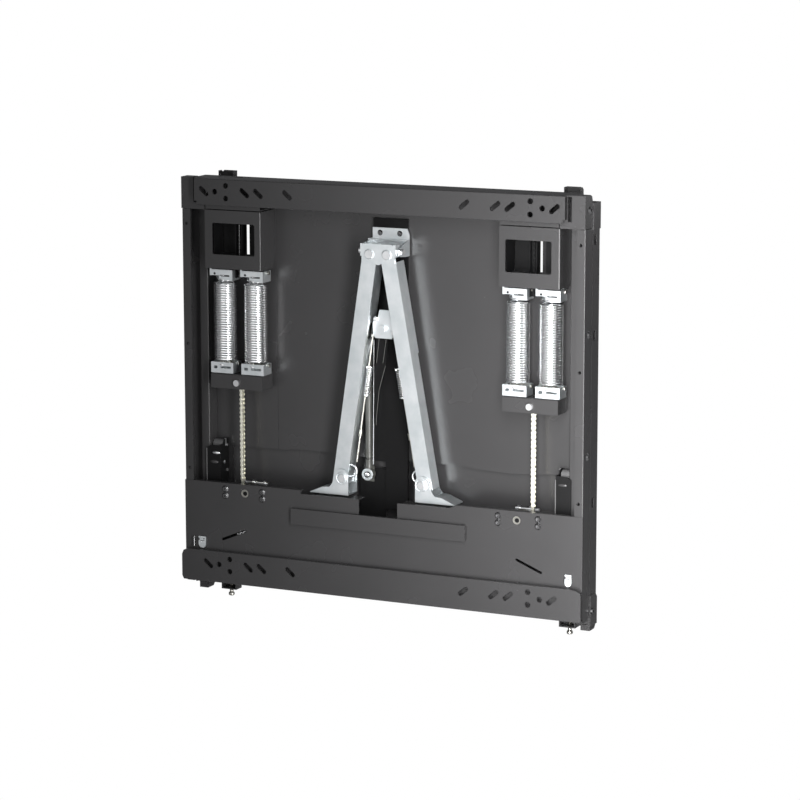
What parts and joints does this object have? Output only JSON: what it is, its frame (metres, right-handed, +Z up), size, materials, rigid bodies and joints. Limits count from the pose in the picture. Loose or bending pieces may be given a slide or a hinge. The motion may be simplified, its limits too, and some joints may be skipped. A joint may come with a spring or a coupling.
{
  "type": "height-adjustable tv wall mount",
  "caption": "Spring-balanced wall mount whose sliding carriage raises and lowers a large screen, with a folding A-shaped safety strut.",
  "frame": {"origin": "on the wall plane, midway between the two rows of screen holes and between the two wall rails", "axes": "X to the right seen from the front, +Y into the wall, +Z up"},
  "size_m": [0.9246, 0.115, 0.9275],
  "materials": {
    "black_powder_coat": "satin fine-grained powder coat",
    "zinc_plated_steel": "satin zinc plating",
    "spring_wire": "bright drawn wire",
    "chain_steel": "oiled, slightly yellow steel",
    "bright_steel": "zinc plated, bright",
    "black_screw": "black zinc, satin",
    "roller_plastic": "matt",
    "damper_paint": "gloss black",
    "matt_black": "matt black"
  },
  "bodies": {
    "wall_frame": {"back_panel": "black_powder_coat", "base_feet": "black_powder_coat", "centre_channel": "matt_black", "damper_cylinder": "damper_paint", "frame_screws": "black_screw", "guide_rail_left": "black_powder_coat", "guide_rail_right": "black_powder_coat", "lower_panel": "black_powder_coat", "side_channel_left": "black_powder_coat", "side_channel_right": "black_powder_coat", "spring_box_left": "black_powder_coat", "spring_box_right": "black_powder_coat", "spring_box_rods": "bright_steel", "spring_hangers": "zinc_plated_steel", "springs_left": "spring_wire", "springs_right": "spring_wire", "strut_bracket": "zinc_plated_steel", "strut_pin": "bright_steel", "top_cover": "black_powder_coat", "wall_rail_left": "black_powder_coat", "wall_rail_right": "black_powder_coat"},
    "carriage": {"top_rail": "black_powder_coat", "bottom_rail": "black_powder_coat", "end_bracket_left": "black_powder_coat", "end_bracket_right": "black_powder_coat", "column_left": "black_powder_coat", "column_right": "black_powder_coat", "apron_plate": "black_powder_coat", "cover_strip": "black_powder_coat", "apron_screws": "black_screw", "column_screws": "black_screw", "yoke_left": "black_powder_coat", "yoke_right": "black_powder_coat", "chain_pins": "bright_steel", "spring_seats": "zinc_plated_steel", "chain_left": "chain_steel", "chain_right": "chain_steel", "damper_rod": "bright_steel", "damper_stay": "black_powder_coat", "guide_block_left": "black_powder_coat", "guide_block_right": "black_powder_coat"},
    "strut": {"strut_head": "zinc_plated_steel", "leg_left": "zinc_plated_steel", "leg_right": "zinc_plated_steel", "strut_rivets": "bright_steel"},
    "release": {"release_plate": "zinc_plated_steel", "release_rods": "bright_steel", "leg_springs": "spring_wire"},
    "adjuster_left": {"adjuster_left": "bright_steel"},
    "adjuster_right": {"adjuster_right": "bright_steel"},
    "latch_left": {"latch_left": "zinc_plated_steel"},
    "latch_right": {"latch_right": "zinc_plated_steel"},
    "foot_left": {"foot_left": "zinc_plated_steel"},
    "foot_right": {"foot_right": "zinc_plated_steel"},
    "levelling_screw_left": {"levelling_screw_left": "bright_steel"},
    "levelling_screw_right": {"levelling_screw_right": "bright_steel"},
    "guide_roller_upper_left": {"guide_roller_upper_left": "roller_plastic"},
    "guide_roller_upper_right": {"guide_roller_upper_right": "roller_plastic"},
    "guide_roller_lower_left": {"guide_roller_lower_left": "roller_plastic"},
    "guide_roller_lower_right": {"guide_roller_lower_right": "roller_plastic"}
  },
  "joints": [
    {"name": "lift", "type": "slide", "parent": "wall_frame", "child": "carriage", "axis": [0, 0, 1], "range_m": [-0.4, 0], "stiffness_N_per_m": 1500, "springref_m": 0.12, "deforming": ["springs_left", "springs_right"]},
    {"name": "strut_swing", "type": "hinge", "parent": "wall_frame", "child": "strut", "pos_m": [0, -0.079, 0.29], "axis": [-1, 0, 0], "range_deg": [0, 90]},
    {"name": "release_slide", "type": "slide", "parent": "strut", "child": "release", "axis": [0, 0, 1], "range_m": [0, 0.012], "stiffness_N_per_m": 400, "springref_m": -0.006},
    {"name": "foot_left_fold", "type": "hinge", "parent": "strut", "child": "foot_left", "pos_m": [-0.0911, -0.065, -0.1933], "axis": [0, 1, 0], "range_deg": [0, 42]},
    {"name": "foot_right_fold", "type": "hinge", "parent": "strut", "child": "foot_right", "pos_m": [0.0911, -0.065, -0.1933], "axis": [0, -1, 0], "range_deg": [0, 42]},
    {"name": "guide_roller_upper_left_spin", "type": "hinge", "parent": "carriage", "child": "guide_roller_upper_left", "pos_m": [-0.4, -0.0445, -0.1525], "axis": [1, 0, 0], "continuous": true},
    {"name": "guide_roller_upper_right_spin", "type": "hinge", "parent": "carriage", "child": "guide_roller_upper_right", "pos_m": [0.4, -0.0445, -0.1525], "axis": [1, 0, 0], "continuous": true},
    {"name": "guide_roller_lower_left_spin", "type": "hinge", "parent": "carriage", "child": "guide_roller_lower_left", "pos_m": [-0.4, -0.0445, -0.207], "axis": [1, 0, 0], "continuous": true},
    {"name": "guide_roller_lower_right_spin", "type": "hinge", "parent": "carriage", "child": "guide_roller_lower_right", "pos_m": [0.4, -0.0445, -0.207], "axis": [1, 0, 0], "continuous": true},
    {"name": "adjuster_left_turn", "type": "hinge", "parent": "carriage", "child": "adjuster_left", "pos_m": [-0.313, -0.085, -0.2427], "axis": [0, 1, 0], "continuous": true},
    {"name": "latch_left_turn", "type": "hinge", "parent": "carriage", "child": "latch_left", "pos_m": [-0.422, -0.1025, -0.3576], "axis": [0, -1, 0], "range_deg": [0, 60]},
    {"name": "levelling_screw_left_travel", "type": "slide", "parent": "wall_frame", "child": "levelling_screw_left", "axis": [0, 0, 1], "range_m": [-0.015, 0.003]},
    {"name": "adjuster_right_turn", "type": "hinge", "parent": "carriage", "child": "adjuster_right", "pos_m": [0.313, -0.085, -0.2427], "axis": [0, 1, 0], "continuous": true},
    {"name": "latch_right_turn", "type": "hinge", "parent": "carriage", "child": "latch_right", "pos_m": [0.422, -0.1025, -0.3576], "axis": [0, 1, 0], "range_deg": [0, 60]},
    {"name": "levelling_screw_right_travel", "type": "slide", "parent": "wall_frame", "child": "levelling_screw_right", "axis": [0, 0, 1], "range_m": [-0.015, 0.003]}
  ],
  "couplings": [
    {"joint": "foot_left_fold", "follows": "release_slide", "rad_per_m": 58},
    {"joint": "foot_right_fold", "follows": "release_slide", "rad_per_m": 58},
    {"joint": "guide_roller_upper_left_spin", "follows": "lift", "rad_per_m": -89.286},
    {"joint": "guide_roller_upper_right_spin", "follows": "lift", "rad_per_m": -89.286},
    {"joint": "guide_roller_lower_left_spin", "follows": "lift", "rad_per_m": -89.286},
    {"joint": "guide_roller_lower_right_spin", "follows": "lift", "rad_per_m": -89.286}
  ]
}
